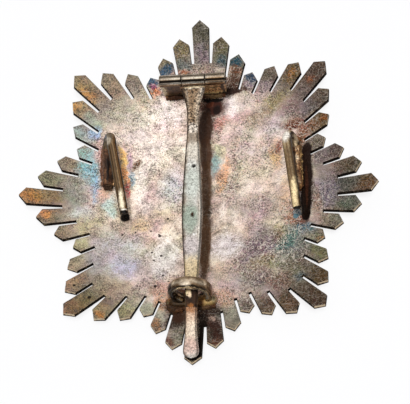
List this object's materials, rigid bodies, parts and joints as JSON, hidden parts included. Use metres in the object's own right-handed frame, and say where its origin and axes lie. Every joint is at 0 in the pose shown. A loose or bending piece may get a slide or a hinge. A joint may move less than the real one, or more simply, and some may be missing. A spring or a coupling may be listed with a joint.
{
  "type": "breast star of an order",
  "caption": "Vaulted star of pointed sheet-metal rays seen from its back, with a hinged dress pin, a ring hook that holds the pin, and two wire hooks at the sides.",
  "frame": {"origin": "middle of the star, on the level that the rim of the front boss rests on", "axes": "+Z out of the back of the star, +Y towards the point above the pin's hinge, +X towards the right-hand side hook"},
  "size_m": [0.088, 0.088, 0.0176],
  "materials": {
    "plate_silver": "unevenly tarnished silver, pale in the middle and brown to blue-green on the rays",
    "hinge_silver": "polished silver with brown tarnish",
    "pin_silver": "smooth silver, lightly tarnished",
    "gilt_silver": "polished, worn gilt silver with dark tarnish"
  },
  "bodies": {
    "root": {"star_plate": "plate_silver", "hinge_bracket": "hinge_silver", "hinge_rod": "hinge_silver", "catch_hook": "gilt_silver", "left_hook": "gilt_silver", "right_hook": "gilt_silver"},
    "pin": {"pin": "pin_silver"}
  },
  "joints": [
    {"name": "pin_hinge", "type": "hinge", "parent": "root", "child": "pin", "pos_m": [-0.00051, 0.0267, 0.0152], "axis": [-1, 0, 0], "range_deg": [0, 170]}
  ]
}
